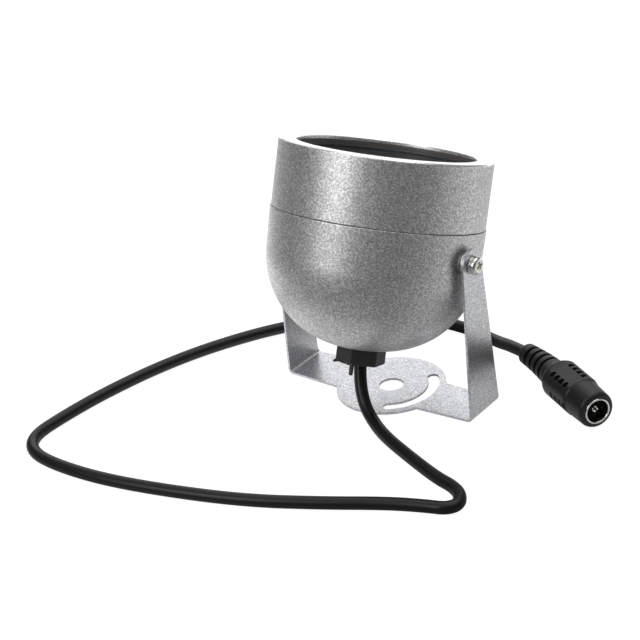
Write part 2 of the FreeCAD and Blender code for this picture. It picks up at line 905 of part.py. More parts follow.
def make_plug_shell():
    body = new_body("plug_shell")
    nose = nose_radius
    face = -s("barrelProud")
    edge = s("noseRound")
    grip_front = -s("noseLength")
    grip_back = grip_front - s("gripLength")
    end = grip_back - s("bootLength")
    blend = s("gripTaper")
    step = s("gripStep")
    section = new_sketch(body, "XZ")
    outline(section, [
        (0, end), (boot_end_radius, end), (boot_radius, grip_back),
        (grip_radius, grip_back + blend), (grip_radius, grip_front - step),
        (nose, grip_front), (nose, face - edge, nose - edge, face - edge, 1),
        (nose - edge, face), (0, face),
    ])
    spin(body, section)
    cut_grip(body, grip_front, grip_back, blend, step)
    cut_ribs(body, end)
    well = new_sketch(body, "XY", offset=face)
    ring(well, 0, 0, s("barrelRadius") + s("fitGap"))
    extrude(body, "Pocket", well, s("barrelDepth"))
    place_plug(body)
    return body


def cut_grip(body, grip_front, grip_back, blend, step):
    # Two long flats, with a row of notches along each of their edges
    flat_at = grip_flat
    past = grip_radius * 2
    low = grip_back + blend
    high = grip_front - step * 2
    sides = new_sketch(body, "XZ")
    box_outline(sides, flat_at, past, low, high)
    box_outline(sides, -past, -flat_at, low, high)
    extrude(body, "Pocket", sides, both=True)
    near = leg(grip_radius, flat_at) + s("notchInset")
    deep = flat_at - s("notchDepth")
    bites = new_sketch(body, "XY", offset=high - s("notchPitch"))
    for x0, x1 in ((deep, past), (-past, -deep)):
        for y0, y1 in ((near, past), (-past, -near)):
            box_outline(bites, x0, x1, y0, y1)
    bite = extrude(body, "Pocket", bites, s("notchWidth"))
    along(body, bite, NOTCH_COUNT, s("notchPitch"), back=True)


def cut_ribs(body, end):
    first = end + s("ribPitch")
    slot = new_sketch(body, "XZ")
    box_outline(slot, boot_core, boot_radius * 2, first - s("ribGap"), first)
    groove = spin(body, slot, kind="Groove")
    along(body, groove, RIB_COUNT, s("ribPitch"))


def make_plug_metal():
    face = -s("barrelProud")
    bottom = face - s("barrelDepth")
    core = bottom + s("insulatorThick")
    barrel = turned_on_plug("plug_barrel", tube_section(
        s("barrelBore"), s("barrelRadius"), bottom, 0))
    insulator = turned_on_plug("plug_insulator", tube_section(
        0, s("barrelBore") - s("fitGap"), bottom, core))
    round_off = s("pinRound")
    tip = -s("pinSet")
    pin = turned_on_plug("plug_pin", [
        (0, core), (s("pinRadius"), core),
        (s("pinRadius"), tip - round_off, s("pinRadius") - round_off, tip - round_off, 1),
        (s("pinRadius") - round_off, tip), (0, tip),
    ])
    slit = new_sketch(pin, "XY", offset=-s("pinSet"))
    gap = s("pinSlit") / 2
    box_outline(slit, -gap, gap, -s("pinRadius") * 2, s("pinRadius") * 2)
    extrude(pin, "Pocket", slit, s("pinSlitDepth"))
    return [barrel, insulator, pin]


pieces = [make_bracket(), make_housing(), make_front_ring()]
pieces += make_stack()
pieces += [make_leds()] + make_sensor() + make_back_pieces()
pieces += [make_gland()] + make_gland_fixings()
pieces += make_pivots()
pieces += make_cable() + make_wires()
pieces += [make_plug_shell()] + make_plug_metal()
doc.recompute()

# Every object must be sound before anything is written
for item in doc.Objects:
    if "Invalid" in item.State or "Error" in item.State:
        raise RuntimeError("%s did not build: %s" % (item.Name, item.State))
os.makedirs("parts", exist_ok=True)
for piece in pieces:
    if piece.Shape.isNull() or not piece.Shape.isValid():
        raise RuntimeError("%s has no sound shape" % piece.Label)
for piece in pieces:
    piece.Shape.exportStep("parts/%s.step" % piece.Label)
    print("%s: %d solids, %.1f mm3"
          % (piece.Label, len(piece.Shape.Solids), piece.Shape.Volume))
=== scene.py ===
import bmesh
import bpy
import math
import numpy as np
from mathutils import Matrix, Vector


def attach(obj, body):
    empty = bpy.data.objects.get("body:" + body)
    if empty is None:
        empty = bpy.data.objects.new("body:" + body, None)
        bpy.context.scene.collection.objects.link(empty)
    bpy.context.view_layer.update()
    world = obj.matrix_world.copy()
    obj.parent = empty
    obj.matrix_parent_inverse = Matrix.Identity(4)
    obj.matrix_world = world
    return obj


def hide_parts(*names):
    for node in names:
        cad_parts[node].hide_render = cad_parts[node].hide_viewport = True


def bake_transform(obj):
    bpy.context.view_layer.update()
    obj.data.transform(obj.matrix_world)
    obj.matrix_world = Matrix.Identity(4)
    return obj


# Looks of the infrared illuminator. Every dictionary holds millimetres and degrees
# unless its note says otherwise; addPiece turns millimetres into metres.

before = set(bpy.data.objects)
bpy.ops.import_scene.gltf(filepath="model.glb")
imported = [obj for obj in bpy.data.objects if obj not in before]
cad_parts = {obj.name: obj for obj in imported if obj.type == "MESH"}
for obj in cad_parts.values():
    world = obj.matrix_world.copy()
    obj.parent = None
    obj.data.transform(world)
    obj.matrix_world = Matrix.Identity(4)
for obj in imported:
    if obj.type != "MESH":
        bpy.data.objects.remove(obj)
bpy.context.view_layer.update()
millimetre = 0.001
print("frame loaded:", len(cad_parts), "nodes")


# Camera and cable come first

cameraSet = {
    "place": (356.73, -446.22, 326.70),
    "yaw": 40.650,      # turned from +Y towards -X
    "pitch": -27.668,   # below the horizon
    "roll": -7.568,
    "lens": 114.75,     # for a sensor 36 wide
}


def makeCamera(values):
    yaw, pitch, roll = (math.radians(values[k]) for k in ("yaw", "pitch", "roll"))
    level = math.cos(pitch)
    forward = Vector((-math.sin(yaw) * level, math.cos(yaw) * level, math.sin(pitch)))
    right = forward.cross(Vector((0, 0, 1))).normalized()
    up = right.cross(forward)
    side = right * math.cos(roll) + up * math.sin(roll)
    top = up * math.cos(roll) - right * math.sin(roll)
    data = bpy.data.cameras.new("photoCamera")
    data.lens = values["lens"]
    data.sensor_width = 36.0
    data.clip_start = 0.01
    data.clip_end = 20.0
    camera = bpy.data.objects.new("photoCamera", data)
    turn = Matrix((side, top, -forward)).transposed().to_4x4()
    camera.matrix_world = Matrix.Translation(Vector(values["place"]) * millimetre) @ turn
    bpy.context.scene.collection.objects.link(camera)
    bpy.context.scene.camera = camera
    return camera


makeCamera(cameraSet)


# Surfaces as whole arrays

def gridFaces(rows, columns, closeRows=False, closeColumns=False):
    # Each point (i, j) of the grid is joined to (i+1, j), (i+1, j+1) and (i, j+1)
    index = np.arange(rows * columns).reshape(rows, columns)
    if closeRows:
        index = np.vstack([index, index[:1]])
    if closeColumns:
        index = np.hstack([index, index[:, :1]])
    corners = (index[:-1, :-1], index[1:, :-1], index[1:, 1:], index[:-1, 1:])
    return np.stack(corners, -1).reshape(-1, 4)


def gridPart(points, closeRows=False, closeColumns=False):
    # A grid of points as (vertices, faces)
    faces = gridFaces(points.shape[0], points.shape[1], closeRows, closeColumns)
    return points.reshape(-1, 3), faces


def circleAngles(steps):
    return np.linspace(0, 2 * np.pi, steps, endpoint=False)


def turnedPart(profile, steps=96, closed=True):
    # Profile (radius, height) carried round the axis: (r cos q, r sin q, h)
    angle = circleAngles(steps)
    radius = profile[:, 0][:, None]
    height = np.repeat(profile[:, 1][:, None], steps, axis=1)
    points = np.stack([radius * np.cos(angle), radius * np.sin(angle), height], -1)
    return gridPart(points, closeRows=closed, closeColumns=True)


def roundedOutline(corners, steps=5):
    # Every corner (x, y, radius) becomes the arc that touches both of its sides:
    # its centre lies on the bisector, radius / sin(half the angle) away
    spans = []
    for i, corner in enumerate(corners):
        here = np.array(corner[:2], float)
        if corner[2] == 0:
            spans.append(here[None])
            continue
        back = np.array(corners[i - 1][:2], float) - here
        ahead = np.array(corners[(i + 1) % len(corners)][:2], float) - here
        back /= np.linalg.norm(back)
        ahead /= np.linalg.norm(ahead)
        half = math.acos(float(back @ ahead)) / 2
        bisector = (back + ahead) / np.linalg.norm(back + ahead)
        centre = here + bisector * corner[2] / math.sin(half)
        start = here + back * corner[2] / math.tan(half) - centre
        end = here + ahead * corner[2] / math.tan(half) - centre
        sweep = math.pi - 2 * half
        t = np.linspace(0, 1, steps + 1)[:, None]
        blend = np.sin((1 - t) * sweep) * start + np.sin(t * sweep) * end
        spans.append(centre + blend / math.sin(sweep))
    return np.concatenate(spans)


def arcPoints(cx, cy, radius, start, end, steps):
    # Points of a circle from angle start to angle end, in degrees
    t = np.radians(np.linspace(start, end, steps))
    return np.stack([cx + radius * np.cos(t), cy + radius * np.sin(t)], -1)


def smoothStep(low, high, x):
    # 0 below low, 1 above high, and 3t^2 - 2t^3 between them
    t = np.clip((x - low) / (high - low), 0, 1)
    return t * t * (3 - 2 * t)


def moved(part, place):
    return place(part[0]), part[1]


def addPiece(name, parts, materials, body, replaces=(), sharp=40.0, pick=None):
    # Joins (vertices, faces) parts into one closed mesh, in metres, normals outwards
    vertices = np.concatenate([part[0] for part in parts]) * millimetre
    starts = np.cumsum([0] + [len(part[0]) for part in parts[:-1]])
    faces = np.concatenate([part[1] + start for part, start in zip(parts, starts)])
    mesh = bpy.data.meshes.new(name)
    mesh.from_pydata(vertices.tolist(), [], faces.tolist())
    work = bmesh.new()
    work.from_mesh(mesh)
    bmesh.ops.remove_doubles(work, verts=work.verts, dist=1e-7)
    bmesh.ops.recalc_face_normals(work, faces=work.faces)
    work.to_mesh(mesh)
    work.free()
    mesh.polygons.foreach_set("use_smooth", np.ones(len(mesh.polygons), bool))
    mesh.set_sharp_from_angle(angle=math.radians(sharp))
    for material in materials:
        mesh.materials.append(material)
    if pick is not None:
        middles = np.zeros(len(mesh.polygons) * 3)
        mesh.polygons.foreach_get("center", middles)
        chosen = pick(middles.reshape(-1, 3) / millimetre)
        mesh.polygons.foreach_set("material_index", chosen.astype(np.int32))
    piece = bpy.data.objects.new(name, mesh)
    bpy.context.scene.collection.objects.link(piece)
    if body is not None:
        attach(piece, body)
    if replaces:
        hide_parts(*replaces)
    return piece


# Where the head and the socket stand

headSet = {"hingeHeight": 51.5, "lean": 22.2}
socketPlace = {
    "nose": (73.2, 6.2, 6.4), "turn": -29.3,
    "lift": 0.02,               # the back stands off the table, by this share of the length
    "bendFrom": 30.0, "bend": 0.0056,
}


def onHead(points):
    # Head's own (x, y, height along its axis) leaned back about the hinge
    lean = math.radians(headSet["lean"])
    x, y, h = points[..., 0], points[..., 1], points[..., 2]
    return np.stack([
        x,
        y * math.cos(lean) + h * math.sin(lean),
        headSet["hingeHeight"] - y * math.sin(lean) + h * math.cos(lean),
    ], -1)


def offHead(points):
    # The way back from the frame to the head's own axes
    lean = math.radians(headSet["lean"])
    y, z = points[..., 1], points[..., 2] - headSet["hingeHeight"]
    return np.stack([
        points[..., 0],
        y * math.cos(lean) - z * math.sin(lean),
        y * math.sin(lean) + z * math.cos(lean),
    ], -1)


def onSocket(points):
    # Socket's own (up, towards the viewer's side, along the axis out of the nose). The
    # back is lifted by a share of its distance, and from bendFrom on the boot bends to the
    # side by bend * d^2, each section turned with it by the slope 2 * bend * d.
    turn = math.radians(socketPlace["turn"])
    along = np.array([math.cos(turn), math.sin(turn), 0])
    side = np.array([math.sin(turn), -math.cos(turn), 0])
    rise = np.array([0.0, 0.0, 1.0])
    base = np.array(socketPlace["nose"])
    up, across, ahead = points[..., :1], points[..., 1:2], points[..., 2:]
    past = np.clip(-ahead - socketPlace["bendFrom"], 0, None)
    ahead = ahead + across * 2 * socketPlace["bend"] * past
    across = across + socketPlace["bend"] * past ** 2
    up = up - socketPlace["lift"] * ahead
    return base + up * rise + across * side + ahead * along


# Materials: each is a small node graph on Object coordinates

def newMaterial(name):
    material = bpy.data.materials.new(name)
    material.use_nodes = True
    tree = material.node_tree
    return material, tree, tree.nodes["Principled BSDF"]


def setInputs(tree, node, inputs):
    # Each input takes a value, or a link from another node's output
    for key, value in inputs.items():
        if isinstance(value, bpy.types.NodeSocket):
            tree.links.new(value, node.inputs[key])
        else:
            node.inputs[key].default_value = value


def addNode(tree, kind, inputs=None, **settings):
    node = tree.nodes.new(kind)
    for key, value in settings.items():
        setattr(node, key, value)
    setInputs(tree, node, inputs or {})
    return node


def objectPlace(tree):
    return addNode(tree, "ShaderNodeTexCoord").outputs["Object"]


def objectNoise(tree, scale, detail=2.0, roughness=0.5):
    noise = addNode(tree, "ShaderNodeTexNoise", {
        "Vector": objectPlace(tree), "Scale": scale, "Detail": detail, "Roughness": roughness})
    return noise.outputs["Fac"]


def colourRamp(tree, factor, stops):
    ramp = addNode(tree, "ShaderNodeValToRGB", {"Fac": factor})
    elements = ramp.color_ramp.elements
    while len(elements) < len(stops):
        elements.new(0.5)
    for element, (position, colour) in zip(elements, stops):
        element.position = position
        element.color = (*colour, 1)
    return ramp.outputs["Color"]


def spanOf(tree, value, low, high, start=0.0, end=1.0, kind="LINEAR"):
    # Maps start..end onto low..high
    span = addNode(tree, "ShaderNodeMapRange", {
        "Value": value, "From Min": start, "From Max": end, "To Min": low, "To Max": high,
    }, interpolation_type=kind)
    return span.outputs["Result"]


def bumpOf(tree, height, strength, distance):
    bump = addNode(tree, "ShaderNodeBump",
                   {"Height": height, "Strength": strength, "Distance": distance})
    return bump.outputs["Normal"]


paintSet = {
    "dark": (0.40, 0.395, 0.398),
    "mid": (0.62, 0.613, 0.62),
    "light": (0.98, 0.97, 0.98),
    "grainScale": 4200.0,    # about a quarter of a millimetre a grain
    "flakeScale": 3100.0,
    "roughness": (0.34, 0.50),
    "metallic": 0.85,
    "grainStrength": 0.55,
    "grainDepth": 0.00004,   # metres
}
bracketPaintSet = dict(paintSet, dark=(0.45, 0.445, 0.448), light=(0.90, 0.89, 0.90),
                       roughness=(0.24, 0.36), grainDepth=0.00003)
# The ring's top face: a smoother copy of the paint, lighter than the wall's, as a painted highlight
rimHighlightPaintSet = dict(paintSet, dark=(0.74, 0.735, 0.73), mid=(0.82, 0.815, 0.81),
                   light=(0.90, 0.89, 0.90), roughness=(0.16, 0.24), grainDepth=0.000008)


def paintMaterial(name, values, tint=(1.0, 1.0, 1.0)):
    # Sand-grained silver paint: grains as bump, flakes as lighter and darker cells
    material, tree, shader = newMaterial(name)
    flakes = addNode(tree, "ShaderNodeTexVoronoi",
                     {"Vector": objectPlace(tree), "Scale": values["flakeScale"]})
    split = addNode(tree, "ShaderNodeSeparateColor", {"Color": flakes.outputs["Color"]})
    stops = [(at, tuple(c * t for c, t in zip(values[tone], tint)))
             for at, tone in ((0.0, "dark"), (0.55, "mid"), (1.0, "light"))]
    grain = objectNoise(tree, values["grainScale"], 2.0, 0.55)
    setInputs(tree, shader, {
        "Base Color": colourRamp(tree, split.outputs["Red"], stops),
        "Metallic": values["metallic"],
        "Roughness": spanOf(tree, grain, *values["roughness"]),
        "Normal": bumpOf(tree, grain, values["grainStrength"], values["grainDepth"]),
    })
    return material


def plainMaterial(name, colour, roughness, bumpScale=900.0, depth=0.00002, metallic=0.0,
                  spread=0.15, strength=0.3, specular=0.5):
    # One colour a little uneven, with fine moulded or rolled grain
    material, tree, shader = newMaterial(name)
    noise = objectNoise(tree, bumpScale, 3.0, 0.6)
    low = tuple(c * (1 - spread) for c in colour)
    high = tuple(min(1.0, c * (1 + spread)) for c in colour)
    setInputs(tree, shader, {
        "Base Color": colourRamp(tree, noise, [(0.3, low), (0.7, high)]),
        "Metallic": metallic,
        "Roughness": spanOf(tree, noise, roughness * 0.85, min(1.0, roughness * 1.15)),
        "Specular IOR Level": specular,
        "Normal": bumpOf(tree, noise, strength, depth),
    })
    return material


def glassMaterial():
    # Toughened front glass with a faint blue-grey edge colour and light smears
    material, tree, shader = newMaterial("frontGlass")
    setInputs(tree, shader, {
        "Base Color": (0.86, 0.92, 0.95, 1),
        "Roughness": spanOf(tree, objectNoise(tree, 60.0, 4.0, 0.6), 0.0, 0.06),
        "Transmission Weight": 1.0,
        "IOR": 1.5,
    })
    return material


def epoxyMaterial():
    # Water-clear lamp bodies with a faint violet cast
    material, tree, shader = newMaterial("lampEpoxy")
    stops = [(0.3, (0.80, 0.84, 0.90)), (0.7, (0.90, 0.92, 0.96))]
    setInputs(tree, shader, {
        "Base Color": colourRamp(tree, objectNoise(tree, 300.0), stops),
        "Roughness": 0.06,
        "Transmission Weight": 0.75,
        "IOR": 1.5,
    })
    return material


silverPaint = paintMaterial("silverPaint", paintSet)
bracketPaint = paintMaterial("bracketPaint", bracketPaintSet, (1.02, 1.04, 1.08))
# Lighter, smoother copy of the silver paint for the ring's top face: a painted highlight
rimHighlightPaint = paintMaterial("rimHighlightPaint", rimHighlightPaintSet)
# A dark colour for the ring's inside faces below the lip's silver band; on the spigot's wall, in
# the seam's gap, it is painted shade
darkInsideColour = plainMaterial("darkInsideColour", (0.105, 0.092, 0.087), 0.42, 1500.0)
blackSeal = plainMaterial("blackSeal", (0.020, 0.020, 0.021), 0.60, 1200.0)
glassSeal = plainMaterial("glassSeal", (0.075, 0.073, 0.080), 0.45, 1200.0)
blackNylon = plainMaterial("blackNylon", (0.034, 0.033, 0.034), 0.30, 1100.0, 0.00003)
blackSleeve = plainMaterial("blackSleeve", (0.016, 0.016, 0.017), 0.55, 700.0)
# The spacer sleeve: lighter and bluer than black plastic, painted light for the dim space behind
# the glass
sleeveWithPaintedLight = plainMaterial("sleeveWithPaintedLight", (0.085, 0.092, 0.105), 0.35, 700.0)
cableJacket = plainMaterial("cableJacket", (0.0045, 0.0043, 0.0045), 0.38, 700.0, 0.00003,
                            specular=0.34)
socketPlastic = plainMaterial("socketPlastic", (0.0070, 0.0070, 0.0085), 0.42, 1400.0, 0.00003,
                              specular=0.40)
nickel = plainMaterial("nickel", (0.78, 0.76, 0.72), 0.16, 1500.0, 0.000004,
                       metallic=1.0, spread=0.04)
frontGlass = glassMaterial()
lampEpoxy = epoxyMaterial()


def boardMaterialOf():
    # Green solder mask with copper rings between the circles of lamps, about the head's
    # own axis: the hinge is brought to the origin and the lean taken out
    material, tree, shader = newMaterial("lampBoard")
    lean = math.radians(headSet["lean"])
    height = headSet["hingeHeight"] * millimetre
    level = addNode(tree, "ShaderNodeMapping", {
        "Vector": objectPlace(tree), "Rotation": (lean, 0, 0),
        "Location": (0, height * math.sin(lean), -height * math.cos(lean)),
    }, vector_type="POINT")
    wave = addNode(tree, "ShaderNodeTexWave", {
        "Vector": level.outputs["Vector"], "Scale": 45.0, "Distortion": 0.0,
    }, wave_type="RINGS", rings_direction="Z")
    rings = wave.outputs["Fac"]
    stops = [(0.0, (0.015, 0.10, 0.045)), (0.62, (0.015, 0.10, 0.045)),
             (0.68, (0.04, 0.20, 0.08)), (1.0, (0.05, 0.23, 0.09))]
    setInputs(tree, shader, {
        "Base Color": colourRamp(tree, rings, stops),
        "Roughness": 0.32,
        "Normal": bumpOf(tree, rings, 0.3, 0.00004),
    })
    return material


def sensorMaterialOf():
    # Pale ceramic with narrow red-brown bands of the light-sensitive track
    material, tree, shader = newMaterial("lightSensor")
    bands = addNode(tree, "ShaderNodeTexWave", {
        "Vector": objectPlace(tree), "Scale": 420.0, "Distortion": 1.2,
    }, wave_type="BANDS", bands_direction="X")
    stops = [(0.35, (0.80, 0.70, 0.52)), (0.5, (0.50, 0.14, 0.05))]
    setInputs(tree, shader, {
        "Base Color": colourRamp(tree, bands.outputs["Fac"], stops),
        "Roughness": 0.35,
    })
    return material


boardMaterial = boardMaterialOf()
sensorMaterial = sensorMaterialOf()
resistorBody = plainMaterial("resistorBody", (0.30, 0.45, 0.58), 0.45, 900.0)
capacitorSleeve = plainMaterial("capacitorSleeve", (0.03, 0.035, 0.09), 0.35, 500.0)
terminalWhite = plainMaterial("terminalWhite", (0.74, 0.72, 0.66), 0.45, 900.0)
wireRed = plainMaterial("wireRed", (0.45, 0.03, 0.02), 0.42, 900.0)
wireBlack = plainMaterial("wireBlack", (0.02, 0.02, 0.02), 0.42, 900.0)
print("materials ready")


# Cable: one smooth NURBS line along the table, and a tube that follows it

cableSet = {
    "radius": 2.0,
    "steps": 24,
    "length": 434.9,        # of the smooth line
    "leadsWithHead": 0.5,   # stays with the gland
    "slack": 19.0,          # over this length the cable lets go of the head
}

# Metres. Most points are the part's own; both ends and the sharp fold are set here.
cableRoute = [
    (0.0002, -0.01430, 0.01665),
    (0.0008, -0.01590, 0.01330),
    (0.0022, -0.01805, 0.00910),
    (0.0051, -0.02050, 0.00460),
    (0.0105, -0.02375, 0.00200),
    (0.0190, -0.02920, 0.00200),
    (0.0340, -0.03600, 0.00200),
    (0.0460, -0.04100, 0.00200),
    (0.0524, -0.04260, 0.00200),
    (0.0569, -0.04520, 0.00200),
    (0.0596, -0.04970, 0.00200),
    (0.0574, -0.05330, 0.00200),
    (0.0516, -0.05480, 0.00200),
    (0.0405, -0.05880, 0.00200),
    (0.0226, -0.06780, 0.00200),
    (0.0020, -0.07680, 0.00200),
    (-0.0220, -0.08340, 0.00200),
    (-0.0460, -0.08800, 0.00200),
    (-0.0660, -0.08860, 0.00200),
    (-0.0785, -0.08620, 0.00200),
    (-0.0846, -0.07900, 0.00200),
    (-0.0842, -0.06550, 0.00200),
    (-0.0820, -0.04750, 0.00200),
    (-0.0765, -0.02500, 0.00200),
    (-0.0680, -0.00500, 0.00200),
    (-0.0555, 0.01450, 0.00200),
    (-0.0370, 0.03200, 0.00200),
    (-0.0150, 0.04030, 0.00200),
    (0.0040, 0.04030, 0.00200),
    (0.0170, 0.03640, 0.00220),
    (0.0279, 0.02970, 0.00630),
    (0.03664, 0.02587, 0.00730),
]


def lineOf(route):
    # Points read from the NURBS line whose control points are the route
    curve = bpy.data.curves.new("cableLine", "CURVE")
    curve.dimensions = "3D"
    spline = curve.splines.new("NURBS")
    spline.points.add(len(route) - 1)
    spline.points.foreach_set("co", np.array([(*point, 1.0) for point in route]).ravel())
    spline.order_u = 3
    spline.use_endpoint_u = True
    spline.resolution_u = 14
    carrier = bpy.data.objects.new("cableLine", curve)
    mesh = bpy.data.meshes.new_from_object(carrier)
    points = np.zeros(len(mesh.vertices) * 3)
    mesh.vertices.foreach_get("co", points)
    bpy.data.objects.remove(carrier)
    bpy.data.curves.remove(curve)
    bpy.data.meshes.remove(mesh)
    return points.reshape(-1, 3)


def tubePart(line, radius, steps, lean=(0.5, 0.3, 0.8)):
    # A circle carried along the line: its two axes are the line's direction crossed
    # with a fixed lean, and the direction crossed with that
    along = np.gradient(line, axis=0)
    along /= np.linalg.norm(along, axis=1)[:, None]
    side = np.cross(along, np.array(lean))
    side /= np.linalg.norm(side, axis=1)[:, None]
    up = np.cross(side, along)
    angle = circleAngles(steps)[None, :, None]
    rings = line[:, None] + radius * (np.cos(angle) * side[:, None] + np.sin(angle) * up[:, None])
    ends = np.repeat(line[[0, -1]][:, None], steps, axis=1)
    return gridPart(np.concatenate([ends[:1], rings, ends[1:]]), closeColumns=True)


cableLine = lineOf(cableRoute)


def makeCable(values, line):
    part = tubePart(line / millimetre, values["radius"], values["steps"])
    cable = addPiece("cable", [part], [cableJacket], None,
                     ["cable_run", "cable_stub"], sharp=60)
    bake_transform(cable)
    vertices = np.zeros(len(cable.data.vertices) * 3)
    cable.data.vertices.foreach_get("co", vertices)
    return cable


cable = makeCable(cableSet, cableLine)


# Front ring and rear housing

ringSet = {
    "outer": 33.5, "top": 29.7, "seam": 8.7, "low": 4.8, "spigot": 31.2,
    "bore": 29.8, "lip": 28.0, "lipThick": 2.3, "paintedLip": 1.05,
    "rimRound": 0.8, "lipRound": 0.3, "seamRound": 0.15, "steps": 256,
}
housingSet = {              # the seam is a gap of 0.2 between the two
    "outer": 33.8, "draft": 0.4, "domeStart": -4.2, "domeRadius": 28.6, "wall": 2.8,
    "seam": 8.5, "stemHole": 4.05, "recess": 32.35, "recessFloor": 7.6, "register": 31.25,
    "registerFloor": 4.4, "seamRound": 0.15, "steps": 256,
    "bossRadius": 3.0, "bossFace": 34.9, "bossRoot": 31.0, "bossFoot": 33.6, "bossFlare": 0.5,
}


def heldEnds(outline, hold=0.25):
    # Puts a point just inside both ends of each long side, so that its shade stays even
    ahead = np.roll(outline, -1, axis=0)
    length = np.linalg.norm(ahead - outline, axis=1)
    spans = []
    for here, after, reach in zip(outline, ahead, length):
        spans.append(here[None])
        if reach > 4 * hold:
            step = (after - here) / reach * hold
            spans.append(np.stack([here + step, after - step]))
    return np.concatenate(spans)


def makeRing(values):
    v = values
    under = v["top"] - v["lipThick"]
    outline = roundedOutline([
        (v["bore"], v["low"], 0.2), (v["spigot"], v["low"], 0.2), (v["spigot"], v["seam"], 0),
        (v["outer"], v["seam"], v["seamRound"]), (v["outer"], v["top"], v["rimRound"]),
        (v["lip"], v["top"], v["lipRound"]), (v["lip"], v["top"] - v["paintedLip"], 0),
        (v["lip"], under, 0.2), (v["bore"], under, 0),
    ])
    part = moved(turnedPart(heldEnds(outline), v["steps"]), onHead)

    def finishOf(middles):
        # 1 inside, where the silver paint ends a little way down the lip: a dark colour, which on
        # the spigot's wall in the seam's gap is painted shade; 2 on the smooth top face and its
        # edges: a lighter copy of the paint, a painted highlight; 0 on the grained wall
        local = offHead(middles)
        radius = np.hypot(local[:, 0], local[:, 1])
        inside = (radius < v["spigot"] + 0.1) & (local[:, 2] < v["top"] - v["paintedLip"])
        smoothHighlightTop = local[:, 2] > v["top"] - v["rimRound"] * 0.35
        return np.where(inside, 1, np.where(smoothHighlightTop, 2, 0))

    return addPiece("frontRing", [part], [silverPaint, darkInsideColour, rimHighlightPaint], "head",
                    ["front_ring"], pick=finishOf)


def makeHousing(values):
    # The wall draws in by the draft from the seam to the dome, a quarter circle
    v = values
    corner = v["outer"] - v["draft"] - v["domeRadius"]
    bottom = v["domeStart"] - v["domeRadius"]
    rim = roundedOutline([
        (v["outer"] - v["draft"], v["domeStart"], 0), (v["outer"], v["seam"], v["seamRound"]),
        (v["recess"], v["seam"], 0.1), (v["recess"], v["recessFloor"], 0),
        (v["register"], v["recessFloor"], 0.1), (v["register"], v["registerFloor"], 0),
        (v["outer"] - v["wall"], v["registerFloor"], 0),
    ])
    outside = arcPoints(corner, v["domeStart"], v["domeRadius"], -90, 0, 60)
    inside = arcPoints(corner, v["domeStart"], v["domeRadius"] - v["wall"], 0, -90, 30)
    profile = np.concatenate([
        [(v["stemHole"], bottom)], outside, heldEnds(rim)[1:], inside,
        [(v["stemHole"], bottom + v["wall"])],
    ])
    bowl = moved(turnedPart(profile, v["steps"]), onHead)
    parts = [bowl, bossPart(v, 1), bossPart(v, -1)]
    return addPiece("rearHousing", parts, [silverPaint], "head",
                    ["rear_housing"])


def bossPart(values, side):
    # A disc turned about the hinge: its radius widens by a quarter circle at the root
    v = values
    flare = v["bossFlare"]
    wide = arcPoints(v["bossRadius"] + flare, v["bossFoot"] + flare, flare, 270, 180, 8)
    profile = np.concatenate([
        [(0, v["bossRoot"]), (v["bossRadius"] + flare, v["bossRoot"])], wide,
        [(v["bossRadius"], v["bossFace"] - 0.2), (v["bossRadius"] - 0.2, v["bossFace"]),
         (0, v["bossFace"])],
    ])
    return onHinge(turnedPart(profile, 64, closed=False), side)


def onHinge(part, side):
    # A turned part's own axis laid along the hinge, to the right for side 1
    x, y, along = part[0].T
    return onHead(np.stack([along * side, x, y], -1)), part[1]


makeRing(ringSet)
makeHousing(housingSet)
print("ring and housing ready")


# What the front ring holds: gasket, glass, sleeve, board, lamps and light sensor

stackSet = {
    "radius": 29.75, "round": 0.15, "steps": 192,
    "gasket": (27.8, 26.5, 27.4),      # inner radius, bottom, top
    "glass": (23.5, 26.5, 0.35),       # bottom, top, edge round
    "sleeve": (28.85, 13.6, 23.5),
    "board": (12.0, 13.6),
    "sensorSleeve": (2.9, 4.2, 13.6, 23.0),
    "sensor": (2.6, 13.6, 15.8),
}
lampSet = {
    "circles": ((8, 9.0), (16, 16.0), (24, 23.0)),   # count and radius of each circle
    "foot": 13.6, "radius": 2.5, "flange": 2.9, "flangeTop": 1.0, "height": 8.6,
    "steps": 20,
    "cupRadius": 1.0, "cupTop": 4.4, "cupDepth": 0.7, "post": 0.3,
}


def ringSection(inner, outer, low, high, rounding):
    # A rectangle with rounded corners, to be carried round an axis
    return roundedOutline([
        (inner, low, rounding), (outer, low, rounding),
        (outer, high, rounding), (inner, high, rounding),
    ], 3)


def tubeRing(inner, outer, low, high, rounding, steps):
    outline = heldEnds(ringSection(inner, outer, low, high, rounding))
    return moved(turnedPart(outline, steps), onHead)


def discPart(radius, low, high, rounding, steps):
    edge = rounding * (1 - math.sqrt(0.5))
    profile = np.array([
        (0, low), (radius - rounding - 0.3, low), (radius - rounding, low),
        (radius - edge, low + edge), (radius, low + rounding),
        (radius, high - rounding), (radius - edge, high - edge),
        (radius - rounding, high), (radius - rounding - 0.3, high), (0, high),
    ])
    return moved(turnedPart(profile, steps, closed=False), onHead)


